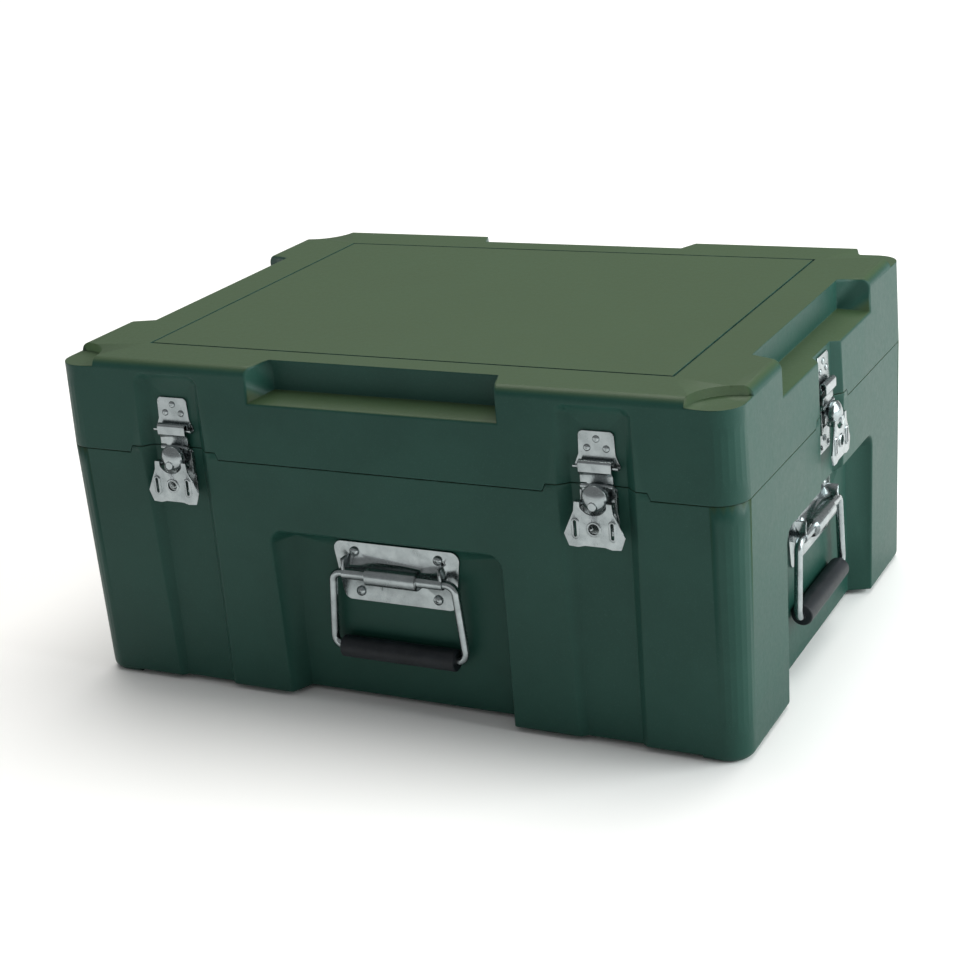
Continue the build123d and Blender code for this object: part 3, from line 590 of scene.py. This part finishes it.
def fastenerTree():
    tree = newTree(
        "setFasteners",
        [
            ("Fastener", "NodeSocketObject"),
            ("Size", "NodeSocketFloat"),
            ("Spin", "NodeSocketFloat"),
            ("Finish", "NodeSocketMaterial"),
        ],
    )
    inside = treeNode(tree, "NodeGroupInput")
    outside = treeNode(tree, "NodeGroupOutput")
    source = treeNode(tree, "GeometryNodeObjectInfo", None, {"Object": inside.outputs["Fastener"]})
    outward = treeNode(
        tree, "GeometryNodeInputNamedAttribute", {"data_type": "FLOAT_VECTOR"}, {"Name": "outward"}
    )
    aim = treeNode(
        tree,
        "FunctionNodeAlignRotationToVector",
        {"axis": "Z"},
        {"Vector": outward.outputs["Attribute"]},
    )
    chance = treeNode(tree, "FunctionNodeRandomValue", {"data_type": "FLOAT"})
    chance.inputs[2].default_value = 0.0
    tree.links.new(inside.outputs["Spin"], chance.inputs[3])
    chance.inputs["Seed"].default_value = turning["seed"]
    twist = treeNode(tree, "ShaderNodeCombineXYZ", None, {2: chance.outputs[1]})
    toTurn = treeNode(tree, "FunctionNodeEulerToRotation", None, {0: twist.outputs[0]})
    turned = treeNode(
        tree,
        "FunctionNodeRotateRotation",
        {"rotation_space": "LOCAL"},
        {"Rotation": aim.outputs[0], "Rotate By": toTurn.outputs[0]},
    )
    copies = treeNode(
        tree,
        "GeometryNodeInstanceOnPoints",
        None,
        {
            "Points": inside.outputs["Geometry"],
            "Instance": source.outputs["Geometry"],
            "Rotation": turned.outputs[0],
            "Scale": inside.outputs["Size"],
        },
    )
    closeTree(tree, copies, inside, outside)
    return tree


setFasteners = fastenerTree()


def setOut(node, shape, spin):
    places = islandPlaces(node)
    points = bpy.data.meshes.new(node + "Points")
    points.from_pydata([tuple(end) for end, outward, length in places], [], [])
    attribute = points.attributes.new("outward", "FLOAT_VECTOR", "POINT")
    for number, (end, outward, length) in enumerate(places):
        attribute.data[number].vector = outward
    source = bpy.data.objects.new(node + "Source", shape)
    bpy.context.scene.collection.objects.link(source)
    values = {"Fastener": source, "Size": 1.0, "Spin": spin, "Finish": finishes[slotOf[node]]}
    mesh = runTree(camelName(node), points, setFasteners, values)
    bpy.data.objects.remove(source)
    addPiece(camelName(node), mesh, bodyOf[node], slotOf[node], node)


def rivetMesh(length):
    s = rivetShape
    top = -s["rise"]
    bottom = -length
    rings = [
        (s["tail"] * 0.86, bottom, 0),
        (s["tail"], bottom + 0.0004, 0),
        (s["tail"], bottom + s["tailThickness"], 0),
        (s["shank"], bottom + s["tailThickness"], 0),
        (s["shank"], top, 0),
        (s["head"], top, 0),
    ]
    rings += domeRings(s["head"], top + 0.0002, s["rise"] - 0.0002)
    rings += [(0.00075, -0.00002, 0), (0.0006, -0.00028, 0), (0.0001, -0.00034, 0)]
    return turnedMesh("rivet", rings)


def screwMesh(length):
    s = screwShape
    top = -s["rise"]
    rings = [
        (s["shank"] * 0.8, -length, 0),
        (s["shank"], -length + 0.0006, 0),
        (s["shank"], top, 0),
        (s["head"] * 0.96, top, 0),
        (s["head"], top + 0.0004, 0),
    ]
    rings += domeRings(s["head"], top + 0.0006, s["rise"] - 0.0006, 6)[:5]
    rings += [
        (s["socket"] * 1.12, -0.00004, 0),
        (s["socket"], -0.0001, 6),
        (s["socket"], -s["socketDepth"], 6),
        (0.0002, -s["socketDepth"] - 0.0003, 0),
    ]
    return turnedMesh("screw", rings, 36)


def nutMesh():
    s = nutShape
    corner = s["acrossFlats"] / 2 / math.cos(math.pi / 6)
    washer = -s["washerThickness"]
    back = washer - s["height"]
    rings = [
        (s["bore"], 0, 0),
        (s["washer"] * 0.97, 0, 0),
        (s["washer"], -0.0002, 0),
        (s["washer"], washer + 0.0002, 0),
        (s["washer"] * 0.97, washer, 0),
        (s["acrossFlats"] / 2, washer, 0),
        (corner, washer - 0.0003, 6),
        (corner, back + 0.0003, 6),
        (s["acrossFlats"] / 2 * 0.96, back, 0),
        (s["bore"], back, 0),
        (s["bore"], 0, 0),
    ]
    return turnedMesh("nut", rings, 36)


for node in ("lid_rivets", "base_rivets"):
    shortest = min(length for end, outward, length in islandPlaces(node))
    setOut(node, rivetMesh(shortest), rivetShape["spin"])
setOut("handle_screws", screwMesh(islandPlaces("handle_screws")[0][2]), screwShape["spin"])
setOut("handle_nuts", nutMesh(), nutShape["spin"])
print("case: fasteners set out")


springWinding = {
    "turns": 6.0,
    "wire": 0.0008,
    "coil": 0.0049,
    "leg": 0.015,
    "half": 0.015,
    "stepsPerTurn": 22,
    "wireSides": 10,
}


def springTree():
    tree = newTree(
        "windSpring",
        [
            ("Turns", "NodeSocketFloat"),
            ("Coil Radius", "NodeSocketFloat"),
            ("Wire Radius", "NodeSocketFloat"),
            ("Length", "NodeSocketFloat"),
            ("Leg", "NodeSocketFloat"),
            ("Finish", "NodeSocketMaterial"),
        ],
    )
    inside = treeNode(tree, "NodeGroupInput")
    outside = treeNode(tree, "NodeGroupOutput")
    coil = treeNode(
        tree,
        "GeometryNodeCurveSpiral",
        None,
        {
            "Resolution": springWinding["stepsPerTurn"],
            "Rotations": inside.outputs["Turns"],
            "Start Radius": inside.outputs["Coil Radius"],
            "End Radius": inside.outputs["Coil Radius"],
            "Height": inside.outputs["Length"],
        },
    )
    down = treeNode(
        tree, "ShaderNodeMath", {"operation": "MULTIPLY"}, {0: inside.outputs["Leg"], 1: -1.0}
    )
    radius = inside.outputs["Coil Radius"]
    start = treeNode(tree, "ShaderNodeCombineXYZ", None, {0: radius})
    end = treeNode(tree, "ShaderNodeCombineXYZ", None, {0: radius, 1: down.outputs[0]})
    leg = treeNode(
        tree,
        "GeometryNodeCurvePrimitiveLine",
        None,
        {"Start": start.outputs[0], "End": end.outputs[0]},
    )
    both = treeNode(tree, "GeometryNodeJoinGeometry")
    tree.links.new(coil.outputs[0], both.inputs[0])
    tree.links.new(leg.outputs[0], both.inputs[0])
    ring = treeNode(
        tree,
        "GeometryNodeCurvePrimitiveCircle",
        None,
        {"Resolution": springWinding["wireSides"], "Radius": inside.outputs["Wire Radius"]},
    )
    wire = treeNode(
        tree,
        "GeometryNodeCurveToMesh",
        None,
        {"Curve": both.outputs[0], "Profile Curve": ring.outputs[0], "Fill Caps": True},
    )
    closeTree(tree, wire, inside, outside)
    return tree


windSpring = springTree()
for node in coiled:
    low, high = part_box(node)
    middle = (low + high) / 2
    along = 0 if abs(middle.x) < abs(middle.y) else 1
    outward = Vector((0, 0, 0))
    outward[1 - along] = 1 if middle[1 - along] > 0 else -1
    up = Vector((0, 0, 1))
    across = up.cross(outward)
    axleHeight = high.z - springWinding["coil"] - springWinding["wire"]
    seed = bpy.data.meshes.new(node + "Seed")
    values = {
        "Turns": springWinding["turns"],
        "Coil Radius": springWinding["coil"],
        "Wire Radius": springWinding["wire"],
        "Length": 2 * springWinding["half"],
        "Leg": springWinding["leg"],
        "Finish": finishes[slotOf[node]],
    }
    mesh = runTree(camelName(node), seed, windSpring, values)
    origin = Vector(middle)
    origin.z = axleHeight
    origin[along] = 0.0
    origin -= across * springWinding["half"]
    for vertex in mesh.vertices:
        # the coil starts next to the plate, and its leg hangs down
        x, y, z = vertex.co
        vertex.co = origin - outward * x + up * y + across * z
    mesh.shade_smooth()
    addPiece(camelName(node), mesh, bodyOf[node], slotOf[node], node)
print("case: springs wound")


studio = {
    "floorSize": 40.0,
    "floorColour": (0.95, 0.95, 0.95, 1),
    "floorShade": (0.90, 0.90, 0.90, 1),
    "farGlow": (0.75, 0.75, 0.75, 1),
    "glowStart": 1.1,
    "glowEnd": 4.0,
    "skyStrength": 0.32,
    "cameraPlace": (0.8224, -1.5971, 0.7939),
    "cameraYaw": 0.4909,
    "cameraPitch": 0.3479,
    "cameraRoll": -0.0875,
    "lens": 74.04,
}
lamps = {
    "keyRight": {
        "place": (2.8, 0.5, 1.3),
        "target": (0.2, 0, 0.15),
        "size": (2.2, 1.8),
        "power": 92,
        "colour": (0.94, 1.0, 0.99),
    },
    "softTop": {
        "place": (-0.2, 0.9, 3.0),
        "target": (0, 0, 0.2),
        "size": (3.2, 2.4),
        "power": 110,
        "colour": (1.0, 0.98, 0.94),
    },
}


def buildFloor():
    size = studio["floorSize"] / 2
    mesh = bpy.data.meshes.new("floorMesh")
    corners = [(-size, -size, 0), (size, -size, 0), (size, size, 0), (-size, size, 0)]
    mesh.from_pydata(corners, [], [(0, 1, 2, 3)])
    floor = bpy.data.objects.new("floor", mesh)
    bpy.context.scene.collection.objects.link(floor)
    g = Graph("floorPaper")
    tone = g.noise(0.9, 2, 0.5)
    colour = g.mix(tone * 0.25, studio["floorColour"], studio["floorShade"])
    away = g.vector("LENGTH", {0: g.place()}, "Value")
    distant = away.smooth(studio["glowStart"], studio["glowEnd"])
    glow = g.mix(distant, (0, 0, 0, 1), studio["farGlow"])
    paper = g.finish(Base_Color=colour, Roughness=0.9, Emission_Color=glow, Emission_Strength=1.0)
    mesh.materials.append(paper)


def buildSky():
    world = bpy.data.worlds.new("studioSky")
    bpy.context.scene.world = world
    world.use_nodes = True
    sky = world.node_tree.nodes["Background"]
    sky.inputs["Color"].default_value = (1.0, 1.0, 1.0, 1)
    sky.inputs["Strength"].default_value = studio["skyStrength"]


def addLight(name, place, target, size, power, colour):
    lamp = bpy.data.lights.new(name, "AREA")
    lamp.shape = "RECTANGLE"
    lamp.size, lamp.size_y = size
    lamp.energy = power
    lamp.color = colour
    holder = bpy.data.objects.new(name, lamp)
    holder.location = place
    holder.rotation_euler = (Vector(target) - Vector(place)).to_track_quat("-Z", "Y").to_euler()
    bpy.context.scene.collection.objects.link(holder)


def addCamera():
    s = studio
    camera = bpy.data.cameras.new("camera")
    camera.lens = s["lens"]
    camera.sensor_width = 36.0
    camera.clip_start = 0.05
    holder = bpy.data.objects.new("camera", camera)
    bpy.context.scene.collection.objects.link(holder)
    holder.location = s["cameraPlace"]
    # turn to face along the yaw, tip down by the pitch, then roll
    aim = Vector(
        (
            -math.sin(s["cameraYaw"]) * math.cos(s["cameraPitch"]),
            math.cos(s["cameraYaw"]) * math.cos(s["cameraPitch"]),
            -math.sin(s["cameraPitch"]),
        )
    )
    turn = aim.to_track_quat("-Z", "Y")
    roll = type(turn)((0, 0, 1), s["cameraRoll"])
    holder.rotation_euler = (turn @ roll).to_euler()
    bpy.context.scene.camera = holder


buildFloor()
buildSky()
for name, lamp in lamps.items():
    addLight(name, **lamp)
bpy.context.scene.view_settings.view_transform = "Standard"
addCamera()
print("case: studio ready")
